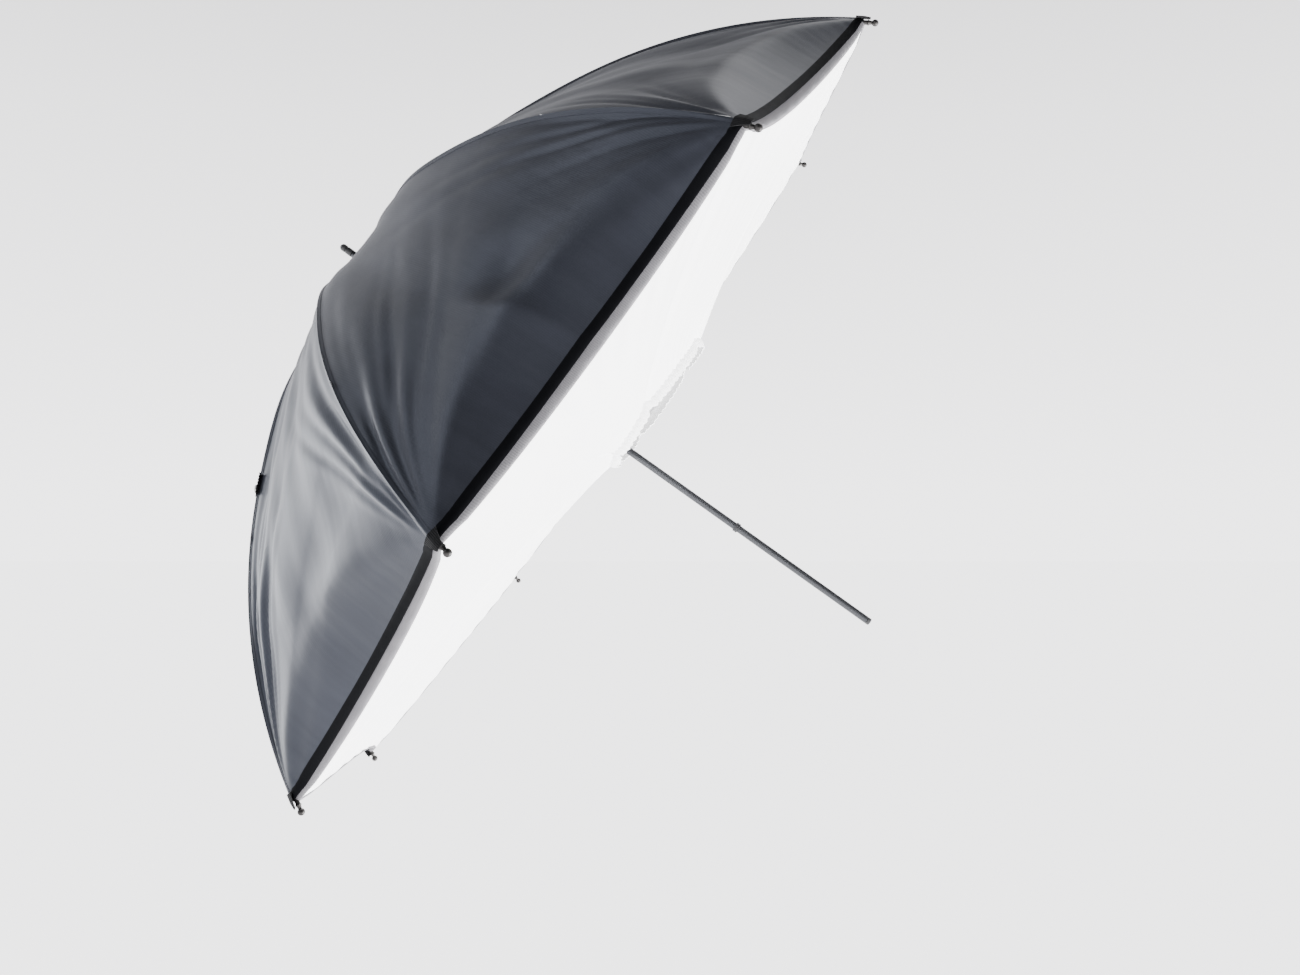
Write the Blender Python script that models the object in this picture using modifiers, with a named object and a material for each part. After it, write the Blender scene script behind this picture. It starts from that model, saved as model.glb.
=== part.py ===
# Photographic umbrella box: a black reflecting canopy on a folding eight-rib frame,
# closed at the rim by a white diffuser that has an offset opening for the lamp.
# Metres, +Z up. The origin is the centre of the shaft's handle-end face.

import bpy
import bmesh
import numpy as np
from math import asin, atan2, cos, hypot, pi, radians, sin, sqrt
from mathutils import Matrix, Vector

# Canopy and frame
RIB_COUNT = 8
TIP_RADIUS = 0.500            # shaft axis to the canopy's corners
CANOPY_DEPTH = 0.292          # crown above the rim plane
RIM_HEIGHT = 0.378            # rim plane above the handle end
FABRIC = 0.0009               # stand-in thickness of one layer of cloth with its hems
RIM_SCALLOP = 0.014           # how far the hem curves in between two corners
GORE_EDGE_GAP = 0.0005        # between neighbouring gores, each side of the rib line
CROWN_HOLE_GAP = 0.0025       # between the shaft and the cloth round it

# Shaft
SHAFT_RADIUS = 0.0040
SHAFT_WALL = 0.0008
SHAFT_ABOVE_CROWN = 0.030     # bare tube above the crown cap's seat
PLUG_LENGTH = 0.012           # of a plug inside the tube
END_CAP_HEIGHT = 0.0040
END_BEVEL = 0.0006
TOP_PLUG_HEIGHT = 0.0160

# Ribs and stretchers
RIB_RADIUS = 0.0015
RIB_GAP = 0.00165             # between a rib and the cloth above it
HINGE_RADIUS = 0.012          # shaft axis to the crown hinges
HINGE_BELOW_CROWN = 0.0095
EYE_RADIUS = 0.0026
EYE_THICKNESS = 0.0022
JOINT_RADIUS = 0.21           # shaft axis to the stretcher's pivot on the rib
JOINT_DROP = 0.0052           # pivot below the rib's centreline
STRETCHER_RADIUS = 0.0014
FORK_EAR = 0.0010
FORK_GAP = 0.0012             # between a fork's bridge and the lug it takes
FORK_BRIDGE = 0.0050          # length of the bridge along the stretcher
ROD_OVERLAP = 0.0020          # how far a rod runs into what it is joined to
RIVET_RADIUS = 0.0009
RIVET_HEAD = 0.0006           # rivet proud of each ear
TIP_SOCKET_DEPTH = 0.009
TIP_SLEEVE_WALL = 0.0004
TIP_BALL_RADIUS = 0.0034
TIP_BALL_BEYOND = 0.0115      # ball's centre beyond the rib's end

# Crown
WIRE_RADIUS = 0.0006
NOTCH_RADIUS = 0.016
NOTCH_BELOW_HINGE = 0.0065
NOTCH_ABOVE_HINGE = 0.0045
CAP_RADIUS = 0.018
CAP_HEIGHT = 0.0045
CAP_LIP = 0.0012              # straight edge under the cap's dome
COLLAR_WALL = 0.0025
COLLAR_HEIGHT = 0.0075
COLLAR_BEVEL = 0.0010

# Runner
RUNNER_BELOW_CROWN = 0.200    # stretcher pivots below the crown, umbrella open
RUNNER_PIVOT_RADIUS = 0.018
RUNNER_FLANGE_RADIUS = 0.0215
RUNNER_FLANGE_ABOVE = 0.0035  # flange above its pivots
RUNNER_FLANGE_HEIGHT = 0.0085
RUNNER_HUB_RADIUS = 0.0135    # the slots stop here
RUNNER_NECK = 0.0060          # height of the cone from the flange to the sleeve
RUNNER_WALL = 0.0035          # of the sleeve
RUNNER_BEVEL = 0.0012
RUNNER_LENGTH = 0.066
FOLD_ANGLE = radians(55)      # each rib's turn from open to closed
STOP_WALL = 0.0010
STOP_HEIGHT = 0.0050
STOP_BEVEL = 0.0004
STOP_CLEARANCE = 0.0010
BUTTON_WIDTH = 0.0070
BUTTON_LENGTH = 0.0160
BUTTON_PROUD = 0.0032
BUTTON_TRAVEL = 0.0020
BUTTON_BELOW_FLANGE = 0.0160
BUTTON_BEVEL = 0.0008
POCKET_WALL = 0.0009          # left between the button's pocket and the shaft's bore

# Diffuser
OPENING_RADIUS = 0.085        # elasticated opening, clear of the shaft and the lamp
OPENING_OFFSET = 0.060        # its centre from the shaft's axis
OPENING_AZIMUTH = radians(15.6)
DIFFUSER_BULGE = 0.035        # how far it stands out from the rim plane at the shaft
DIFFUSER_POWER = 1.4          # 1 would make it a plain cone
HEM_CLEARANCE = 0.009         # diffuser's edge inside the canopy's hem, clear of the rib ends

# Closing strap
STRAP_RIB = 6                 # number of the rib whose seam carries it
STRAP_RADIUS_ON_CANOPY = 0.277
STRAP_LENGTH = 0.022
STRAP_WIDTH = 0.012
STRAP_THICKNESS = 0.0014
STUD_RADIUS = 0.0045
STUD_HEIGHT = 0.0026
STUD_OFFSET = 0.0050          # along the strap from its middle

CLEARANCE = 0.0003            # between neighbouring pieces
SLOT_CLEARANCE = 0.0004       # each side of an eye in its slot
ROUND_STEPS = 24               # sides of a turned piece
ROD_SIDES = 10                 # sides of a small round bar
CUT_OVERRUN = 0.003            # how far a cutter runs past what it cuts
JUST_INSIDE = 0.99             # keeps the faces of joined shapes from coinciding
IN_EYE = 0.75                  # where a rod ends inside its eye, as a share of the eye
FORK_DEPTH = 0.7               # height of a fork's arms as a share of the eye

# What follows from the sizes above
SECTOR = 2 * pi / RIB_COUNT
HALF_SECTOR = SECTOR / 2
CROWN_HEIGHT = RIM_HEIGHT + CANOPY_DEPTH
CANOPY_RADIUS = (TIP_RADIUS ** 2 + CANOPY_DEPTH ** 2) / (2 * CANOPY_DEPTH)
CANOPY_CENTRE = CROWN_HEIGHT - CANOPY_RADIUS
RIM_ANGLE = asin(TIP_RADIUS / CANOPY_RADIUS)
HINGE_HEIGHT = CROWN_HEIGHT - HINGE_BELOW_CROWN
CAP_SEAT = CROWN_HEIGHT + FABRIC / 2 + CLEARANCE
TUBE_BOTTOM = END_CAP_HEIGHT + CLEARANCE
TUBE_TOP = CAP_SEAT + SHAFT_ABOVE_CROWN
BORE_RADIUS = SHAFT_RADIUS - SHAFT_WALL
SLIDING_RADIUS = SHAFT_RADIUS + CLEARANCE
CROWN_HOLE_RADIUS = SHAFT_RADIUS + CROWN_HOLE_GAP
COLLAR_RADIUS = SLIDING_RADIUS + COLLAR_WALL
STOP_RADIUS = SLIDING_RADIUS + STOP_WALL
RUNNER_SLEEVE_RADIUS = SLIDING_RADIUS + RUNNER_WALL
RIB_INSET = FABRIC / 2 + RIB_GAP + RIB_RADIUS
TIP_SLEEVE_RADIUS = RIB_RADIUS + CLEARANCE + TIP_SLEEVE_WALL


def clear_scene():
    for old in list(bpy.data.objects):
        bpy.data.objects.remove(old, do_unlink=True)


def make_collection(name):
    collection = bpy.data.collections.new(name)
    bpy.context.scene.collection.children.link(collection)
    return collection


def make_material(name, color, roughness, metallic=0.0):
    material = bpy.data.materials.new(name)
    material.use_nodes = True
    shader = material.node_tree.nodes["Principled BSDF"]
    shader.inputs["Base Color"].default_value = (*color, 1)
    shader.inputs["Roughness"].default_value = roughness
    shader.inputs["Metallic"].default_value = metallic
    return material


clear_scene()
PARTS = make_collection("umbrella_box")
CUTTERS = make_collection("cutters")


def place(name, mesh, material, parent=None):
    """A named sub-part with its material, shaded smooth except at its edges."""
    own = mesh.copy() if mesh.materials else mesh
    own.materials.clear()
    own.materials.append(material)
    own.shade_smooth()
    own.set_sharp_from_angle(angle=radians(35))
    part = bpy.data.objects.new(name, own)
    PARTS.objects.link(part)
    part.parent = parent
    return part


def empty(name, location, azimuth=0.0, parent=None):
    holder = bpy.data.objects.new(name, None)
    holder.empty_display_size = 0.01
    holder.location = location
    holder.rotation_euler = (0, 0, azimuth)
    holder.parent = parent
    PARTS.objects.link(holder)
    return holder


def helper(name, mesh):
    """A cutter or another shape that a Boolean uses: never rendered, shown as wire."""
    shape = bpy.data.objects.new(name, mesh)
    shape.hide_render = True
    shape.display_type = "WIRE"
    CUTTERS.objects.link(shape)
    return shape


def bm_mesh(name, build):
    bm = bmesh.new()
    build(bm)
    mesh = bpy.data.meshes.new(name)
    bm.to_mesh(mesh)
    bm.free()
    return mesh


def box_mesh(name, low, high):
    low, high = Vector(low), Vector(high)
    size = high - low
    matrix = Matrix.Translation((low + high) / 2) @ Matrix.Diagonal((*size, 1))
    return bm_mesh(name, lambda bm: bmesh.ops.create_cube(bm, size=1, matrix=matrix))


def rod_mesh(name, start, end, radius):
    """A straight round rod between two points."""
    start, end = Vector(start), Vector(end)
    along = end - start
    turn = Vector((0, 0, 1)).rotation_difference(along).to_matrix().to_4x4()
    matrix = Matrix.Translation((start + end) / 2) @ turn
    return bm_mesh(name, lambda bm: bmesh.ops.create_cone(
        bm, cap_ends=True, segments=ROD_SIDES, radius1=radius, radius2=radius,
        depth=along.length, matrix=matrix))


def ball_mesh(name, centre, radius):
    matrix = Matrix.Translation(centre)
    return bm_mesh(name, lambda bm: bmesh.ops.create_uvsphere(
        bm, u_segments=12, v_segments=8, radius=radius, matrix=matrix))


def evaluated_mesh(shape, name):
    graph = bpy.context.evaluated_depsgraph_get()
    mesh = bpy.data.meshes.new_from_object(shape.evaluated_get(graph), depsgraph=graph)
    mesh.name = name
    return mesh


def turned_mesh(name, profile, steps=ROUND_STEPS):
    """A closed (radius, height) outline turned about Z. It runs down its outer side first."""
    def outline(bm):
        points = [bm.verts.new((r, 0, z)) for r, z in profile]
        for start, end in zip(points, points[1:] + points[:1]):
            if start.co.x > 0 or end.co.x > 0:
                bm.edges.new((start, end))
    source = helper(name + "_profile", bm_mesh(name + "_profile", outline))
    screw = source.modifiers.new("turn", "SCREW")
    screw.steps = screw.render_steps = steps
    screw.use_merge_vertices = True
    screw.merge_threshold = 0.00001
    bpy.context.view_layer.update()
    mesh = evaluated_mesh(source, name)
    bpy.data.objects.remove(source)
    return mesh


def tube_mesh(name, points, radius):
    """A round bar along points: a POLY curve with a bevel, made a mesh with welded caps."""
    curve = bpy.data.curves.new(name + "_line", "CURVE")
    curve.dimensions = "3D"
    curve.bevel_depth = radius
    curve.bevel_resolution = 2
    curve.use_fill_caps = True
    spline = curve.splines.new("POLY")
    spline.points.add(len(points) - 1)
    for point, co in zip(spline.points, points):
        point.co = (*co, 1)
    source = helper(name + "_line", curve)
    bpy.context.view_layer.update()
    mesh = evaluated_mesh(source, name)
    bpy.data.objects.remove(source)
    bm = bmesh.new()
    bm.from_mesh(mesh)
    bmesh.ops.remove_doubles(bm, verts=bm.verts, dist=0.00001)
    bmesh.ops.recalc_face_normals(bm, faces=bm.faces)
    bm.to_mesh(mesh)
    bm.free()
    return mesh


def combined_mesh(name, base, joins=(), cuts=()):
    """The base joined with some meshes, then cut by others, by exact Booleans."""
    body = helper(name + "_base", base)
    for operation, meshes in (("UNION", joins), ("DIFFERENCE", cuts)):
        for number, mesh in enumerate(meshes):
            tool = helper(f"{name}_{operation.lower()}_{number}", mesh)
            modifier = body.modifiers.new(tool.name, "BOOLEAN")
            modifier.operation = operation
            modifier.solver = "EXACT"
            modifier.object = tool
    bpy.context.view_layer.update()
    mesh = evaluated_mesh(body, name)
    for tool in [m.object for m in body.modifiers] + [body]:
        bpy.data.objects.remove(tool)
    return mesh


def arc_through(first, middle, last, count):
    """Points on the circle through three (radius, height) points, evenly spaced."""
    (ax, ay), (bx, by), (cx, cy) = first, middle, last
    d = 2 * (ax * (by - cy) + bx * (cy - ay) + cx * (ay - by))
    a2, b2, c2 = ax * ax + ay * ay, bx * bx + by * by, cx * cx + cy * cy
    ox = (a2 * (by - cy) + b2 * (cy - ay) + c2 * (ay - by)) / d
    oy = (a2 * (cx - bx) + b2 * (ax - cx) + c2 * (bx - ax)) / d
    radius = hypot(ax - ox, ay - oy)
    turns = np.linspace(atan2(ay - oy, ax - ox), atan2(cy - oy, cx - ox), count)
    return [(ox + radius * cos(t), oy + radius * sin(t)) for t in turns]


def on_canopy(angle, inset=0.0):
    """(radius, height) on the rib line, angle measured at the dome's centre from the crown."""
    radius = CANOPY_RADIUS - inset
    return radius * sin(angle), CANOPY_CENTRE + radius * cos(angle)


RIB_POINTS = arc_through((HINGE_RADIUS, HINGE_HEIGHT),
                         on_canopy(RIM_ANGLE / 2, RIB_INSET),
                         on_canopy(RIM_ANGLE, RIB_INSET), 15)


def rib_at(radius):
    """(radius, height) and slope angle of the rib's centreline at a distance from the shaft."""
    r = np.array([p[0] for p in RIB_POINTS])
    z = np.array([p[1] for p in RIB_POINTS])
    step = 0.002
    height, ahead = np.interp([radius, radius + step], r, z)
    return (radius, height), atan2(ahead - height, step)


def stretcher_geometry():
    """Pivot on the rib, pivot on the runner when open, length, and the travel to closed."""
    (r, z), slope = rib_at(JOINT_RADIUS)
    joint = (r + JOINT_DROP * sin(slope), z - JOINT_DROP * cos(slope))
    pivot = (RUNNER_PIVOT_RADIUS, CROWN_HEIGHT - RUNNER_BELOW_CROWN)
    length = hypot(joint[0] - pivot[0], joint[1] - pivot[1])
    dr, dz = joint[0] - HINGE_RADIUS, joint[1] - HINGE_HEIGHT
    closed_r = HINGE_RADIUS + dr * cos(FOLD_ANGLE) + dz * sin(FOLD_ANGLE)
    closed_z = HINGE_HEIGHT - dr * sin(FOLD_ANGLE) + dz * cos(FOLD_ANGLE)
    drop = sqrt(length ** 2 - (closed_r - pivot[0]) ** 2)
    return joint, pivot, length, pivot[1] - (closed_z - drop)


JOINT, PIVOT, STRETCHER_LENGTH, RUNNER_TRAVEL = stretcher_geometry()


def diffuser_height(radius):
    """The diffuser is a very flat cone that comes forward towards the shaft."""
    return RIM_HEIGHT - DIFFUSER_BULGE * (1 - radius / TIP_RADIUS) ** DIFFUSER_POWER


def shaft_tube():
    steel = make_material("shaft_grey", (0.075, 0.078, 0.082), 0.38, 0.85)
    profile = [(SHAFT_RADIUS, TUBE_TOP), (SHAFT_RADIUS, TUBE_BOTTOM),
               (BORE_RADIUS, TUBE_BOTTOM), (BORE_RADIUS, TUBE_TOP)]
    place("shaft_tube", turned_mesh("shaft_tube", profile), steel)


def shaft_plugs():
    """The flat plug at the handle end and the domed one at the crown end."""
    plastic = make_material("plug_black", (0.018, 0.018, 0.019), 0.45)
    stem = BORE_RADIUS - CLEARANCE
    low = [(0, TUBE_BOTTOM + PLUG_LENGTH), (stem, TUBE_BOTTOM + PLUG_LENGTH),
           (stem, END_CAP_HEIGHT), (SHAFT_RADIUS, END_CAP_HEIGHT),
           (SHAFT_RADIUS, END_BEVEL), (SHAFT_RADIUS - END_BEVEL, 0), (0, 0)]
    place("shaft_end_cap", turned_mesh("shaft_end_cap", low), plastic)
    seat = TUBE_TOP + CLEARANCE
    dome = [(SHAFT_RADIUS * cos(t), seat + TOP_PLUG_HEIGHT - SHAFT_RADIUS * (1 - sin(t)))
            for t in np.linspace(pi / 2, 0, 6)]
    dome[0] = (0, dome[0][1])
    high = dome + [(SHAFT_RADIUS, seat), (stem, seat), (stem, seat - PLUG_LENGTH),
                   (0, seat - PLUG_LENGTH)]
    place("ferrule_plug", turned_mesh("ferrule_plug", high), plastic)


def radial_slots(name, inner, outer, low, high, width):
    """One long box for each rib, standing radially, that cuts the slots of a notched ring."""
    slots = []
    for number in range(RIB_COUNT):
        mesh = box_mesh(f"{name}_slot", (inner, -width / 2, low), (outer, width / 2, high))
        mesh.transform(Matrix.Rotation(number * SECTOR, 4, "Z"))
        slots.append(mesh)
    return slots


def crown_notch():
    """The notched ring fixed on the shaft, and the wire that the ribs' eyes hang on."""
    nylon = make_material("crown_nylon", (0.022, 0.022, 0.024), 0.5)
    steel = make_material("wire_steel", (0.55, 0.55, 0.56), 0.32, 1.0)
    low, high = HINGE_HEIGHT - NOTCH_BELOW_HINGE, HINGE_HEIGHT + NOTCH_ABOVE_HINGE
    ring = turned_mesh("crown_notch", [
        (NOTCH_RADIUS, high), (NOTCH_RADIUS, low), (SLIDING_RADIUS, low), (SLIDING_RADIUS, high)])
    reach = WIRE_RADIUS + SLOT_CLEARANCE
    groove = turned_mesh("crown_groove", [
        (HINGE_RADIUS + reach, high + CUT_OVERRUN), (HINGE_RADIUS + reach, HINGE_HEIGHT - reach),
        (HINGE_RADIUS - reach, HINGE_HEIGHT - reach), (HINGE_RADIUS - reach, high + CUT_OVERRUN)])
    inner = HINGE_RADIUS - EYE_RADIUS - SLOT_CLEARANCE
    width = max(EYE_THICKNESS + 2 * SLOT_CLEARANCE, 2 * RIB_RADIUS)
    slots = radial_slots("crown", inner, NOTCH_RADIUS + CUT_OVERRUN, low - CUT_OVERRUN,
                         high + CUT_OVERRUN, width)
    place("crown_notch", combined_mesh("crown_notch", ring, cuts=[groove] + slots), nylon)
    wire = [(HINGE_RADIUS + WIRE_RADIUS * cos(t), HINGE_HEIGHT + WIRE_RADIUS * sin(t))
            for t in np.linspace(0, -2 * pi, 7)[:-1]]
    place("crown_wire", turned_mesh("crown_wire", wire), steel)


def crown_cap():
    """The cap over the cloth at the crown, and the collar that holds it down."""
    plastic = make_material("cap_black", (0.02, 0.02, 0.021), 0.42)
    chrome = make_material("collar_steel", (0.5, 0.5, 0.51), 0.3, 1.0)
    bore = SLIDING_RADIUS
    top = CAP_SEAT + CAP_HEIGHT
    dome = [(bore + (CAP_RADIUS - bore) * sin(t), CAP_SEAT + CAP_LIP + (CAP_HEIGHT - CAP_LIP) * cos(t))
            for t in np.linspace(0, pi / 2, 6)[1:]]
    dome[0] = (dome[0][0], top)
    profile = dome + [(CAP_RADIUS, CAP_SEAT), (bore, CAP_SEAT), (bore, top)]
    place("crown_cap", turned_mesh("crown_cap", profile), plastic)
    low = top + CLEARANCE
    high = low + COLLAR_HEIGHT
    collar = [(COLLAR_RADIUS - COLLAR_BEVEL, high), (COLLAR_RADIUS, high - COLLAR_BEVEL),
              (COLLAR_RADIUS, low), (bore, low), (bore, high)]
    place("crown_collar", turned_mesh("crown_collar", collar), chrome)


def rib_mesh():
    """A curved rod with an eye at the crown and a drilled lug for its stretcher.
    It is drawn in the XZ plane from its hinge."""
    points = [(r - HINGE_RADIUS, 0, z - HINGE_HEIGHT) for r, z in RIB_POINTS]
    first = Vector(points[1]) - Vector(points[0])
    points[0] = tuple(Vector(points[0]) + first.normalized() * (EYE_RADIUS * IN_EYE))
    rod = tube_mesh("rib_rod", points, RIB_RADIUS)
    half = EYE_THICKNESS / 2
    eye = rod_mesh("rib_eye", (0, -half, 0), (0, half, 0), EYE_RADIUS)
    (r, z), slope = rib_at(JOINT_RADIUS)
    pin = Vector((JOINT[0] - HINGE_RADIUS, 0, JOINT[1] - HINGE_HEIGHT))
    on_rib = Vector((r - HINGE_RADIUS, 0, z - HINGE_HEIGHT))
    disc = rod_mesh("lug_disc", pin - Vector((0, half, 0)), pin + Vector((0, half, 0)), EYE_RADIUS)
    width, side = EYE_RADIUS * JUST_INSIDE, half * JUST_INSIDE
    plate = box_mesh("lug_plate", (-width, -side, 0), (width, side, JOINT_DROP))
    plate.transform(Matrix.Translation(pin) @ Matrix.Rotation(-slope, 4, "Y"))
    hole = WIRE_RADIUS + SLOT_CLEARANCE
    reach = Vector((0, half + CUT_OVERRUN, 0))
    eye_hole = rod_mesh("eye_hole", -reach, reach, hole)
    rivet_hole = rod_mesh("rivet_hole", pin - reach, pin + reach, RIVET_RADIUS + CLEARANCE)
    return combined_mesh("rib", rod, joins=[eye, disc, plate], cuts=[eye_hole, rivet_hole])


def rib_tip_mesh():
    """A metal cap with a ball end, pushed over the rib's end. Drawn from the rib's hinge."""
    end, before = Vector((RIB_POINTS[-1][0], 0, RIB_POINTS[-1][1])), RIB_POINTS[-2]
    along = (end - Vector((before[0], 0, before[1]))).normalized()
    origin = Vector((HINGE_RADIUS, 0, HINGE_HEIGHT))
    end = end - origin
    mouth = end - along * TIP_SOCKET_DEPTH
    ball = end + along * TIP_BALL_BEYOND
    sleeve = rod_mesh("tip_sleeve", mouth, ball, TIP_SLEEVE_RADIUS)
    socket = rod_mesh("tip_socket", mouth - along * CUT_OVERRUN, end + along * CLEARANCE,
                      RIB_RADIUS + CLEARANCE)
    return combined_mesh("rib_tip", sleeve, [ball_mesh("tip_ball", ball, TIP_BALL_RADIUS)], [socket])


def stretcher_mesh():
    """A straight rod with an eye for the runner and a riveted fork for the rib's lug.
    It is drawn in the XZ plane from its pivot on the rib, lying along -X."""
    half = EYE_THICKNESS / 2
    ear_in = half + SLOT_CLEARANCE
    ear_out = ear_in + FORK_EAR
    bridge = EYE_RADIUS + FORK_GAP
    far = STRETCHER_LENGTH
    rod = tube_mesh("stretcher_rod", [(-bridge - ROD_OVERLAP, 0, 0), (-far + EYE_RADIUS * IN_EYE, 0, 0)],
                    STRETCHER_RADIUS)
    depth, side = EYE_RADIUS * FORK_DEPTH, ear_out * JUST_INSIDE
    block = box_mesh("fork_bridge", (-bridge - FORK_BRIDGE, -side, -depth), (-bridge, side, depth))
    joins = [block, rod_mesh("stretcher_eye", (-far, -half, 0), (-far, half, 0), EYE_RADIUS)]
    for side in (-1, 1):
        joins.append(rod_mesh("fork_ear", (0, side * ear_in, 0), (0, side * ear_out, 0), EYE_RADIUS))
        low, high = sorted((side * ear_in / JUST_INSIDE, side * ear_out * JUST_INSIDE ** 2))
        arm = depth * JUST_INSIDE
        joins.append(box_mesh("fork_arm", (-bridge - ROD_OVERLAP, low, -arm), (0, high, arm)))
    reach = ear_out + RIVET_HEAD
    joins.append(rod_mesh("rivet", (0, -reach, 0), (0, reach, 0), RIVET_RADIUS))
    through = half + CUT_OVERRUN
    eye_hole = rod_mesh("runner_eye_hole", (-far, -through, 0), (-far, through, 0),
                        WIRE_RADIUS + SLOT_CLEARANCE)
    return combined_mesh("stretcher", rod, joins, [eye_hole])


def gore_mesh():
    """One gore of the canopy, drawn with its middle on +X. Across the gore the cloth is
    pulled straight from rib to rib, and its hem curves in between the two corners."""
    across = np.linspace(-1, 1, 7)
    along = np.linspace(0, 1, 12)
    start = asin(CROWN_HOLE_RADIUS / cos(HALF_SECTOR) / CANOPY_RADIUS)
    hem = RIM_ANGLE - RIM_SCALLOP / CANOPY_RADIUS * (1 - across ** 2)
    angle = start + along[:, None] * (hem[None] - start)
    rib_radius = CANOPY_RADIUS * np.sin(angle)
    x = rib_radius * cos(HALF_SECTOR)
    y = across[None] * (rib_radius * sin(HALF_SECTOR) - GORE_EDGE_GAP)
    z = CANOPY_CENTRE + CANOPY_RADIUS * np.cos(angle)
    return sheet_mesh("gore", np.stack([x, y, z], 2))


def sheet_mesh(name, grid):
    """A grid of points as one open surface whose faces point to the grid's outer side."""
    rows, columns = grid.shape[:2]
    index = np.arange(rows * columns).reshape(rows, columns)
    faces = np.stack([index[:-1, :-1], index[1:, :-1], index[1:, 1:], index[:-1, 1:]], 2)
    mesh = bpy.data.meshes.new(name)
    mesh.from_pydata(grid.reshape(-1, 3).tolist(), [], faces.reshape(-1, 4).tolist())
    return mesh


def wedge_mesh():
    """One rib's share of the diffuser, from its corner to the elasticated opening.
    It depends on the rib's azimuth, because the opening is off-centre."""
    def made(azimuth):
        across = np.linspace(-1, 1, 7)
        turn = across * HALF_SECTOR
        rim_angle = RIM_ANGLE - RIM_SCALLOP / CANOPY_RADIUS * (1 - (1 - np.abs(across)) ** 2)
        chord = cos(HALF_SECTOR) / np.cos(HALF_SECTOR - np.abs(turn))
        outer = CANOPY_RADIUS * np.sin(rim_angle) * chord - HEM_CLEARANCE
        rim_height = CANOPY_CENTRE + CANOPY_RADIUS * np.cos(rim_angle) - RIM_HEIGHT
        off = azimuth + turn - OPENING_AZIMUTH
        inner = OPENING_OFFSET * np.cos(off)
        inner += np.sqrt(OPENING_RADIUS ** 2 - (OPENING_OFFSET * np.sin(off)) ** 2)
        share = np.linspace(0, 1, 4)[:, None]
        radius = outer + share * (inner - outer)
        height = diffuser_height(radius) + (1 - share) * rim_height
        x, y = radius * np.cos(turn), radius * np.sin(turn)
        y = y - np.sign(across) * GORE_EDGE_GAP * (np.abs(across) == 1)
        return sheet_mesh("diffuser_wedge", np.stack([x, y, height], 2))
    return made


def solidify(part, thickness):
    modifier = part.modifiers.new("thickness", "SOLIDIFY")
    modifier.thickness = thickness
    modifier.offset = 0
    modifier.use_even_offset = True


def frame_sector(number, meshes, materials):
    """Rib, tip and stretcher of one sector, on empties at the hinge and at the pivot."""
    rib, tip, stretcher = meshes
    azimuth = (number - 1) * SECTOR
    out = Vector((cos(azimuth), sin(azimuth), 0))
    hinge = empty(f"rib_hinge_{number}", out * HINGE_RADIUS + Vector((0, 0, HINGE_HEIGHT)), azimuth)
    place(f"rib_{number}", rib, materials["rib"], hinge)
    place(f"rib_tip_{number}", tip, materials["tip"], hinge)
    pivot = Vector((JOINT[0] - HINGE_RADIUS, 0, JOINT[1] - HINGE_HEIGHT))
    joint = empty(f"stretcher_pivot_{number}", pivot, 0, hinge)
    joint.rotation_euler = (0, -atan2(JOINT[1] - PIVOT[1], JOINT[0] - PIVOT[0]), 0)
    place(f"stretcher_{number}", stretcher, materials["stretcher"], joint)


def canopy_and_diffuser():
    black = make_material("canopy_black", (0.012, 0.013, 0.015), 0.55)
    white = make_material("diffuser_white", (0.9, 0.9, 0.9), 0.8)
    gore = gore_mesh()
    wedge = wedge_mesh()
    for number in range(1, RIB_COUNT + 1):
        azimuth = (number - 1) * SECTOR
        panel = place(f"canopy_{number}", gore, black)
        panel.rotation_euler = (0, 0, azimuth + HALF_SECTOR)
        solidify(panel, FABRIC)
        cloth = place(f"diffuser_{number}", wedge(azimuth), white)
        cloth.rotation_euler = (0, 0, azimuth)
        solidify(cloth, FABRIC)


def frame_sectors():
    materials = {
        "rib": make_material("rib_black", (0.03, 0.03, 0.032), 0.35, 0.8),
        "tip": make_material("tip_nickel", (0.48, 0.48, 0.5), 0.28, 1.0),
        "stretcher": make_material("stretcher_black", (0.035, 0.035, 0.037), 0.35, 0.8),
    }
    meshes = rib_mesh(), rib_tip_mesh(), stretcher_mesh()
    for number in range(1, RIB_COUNT + 1):
        frame_sector(number, meshes, materials)


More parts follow.
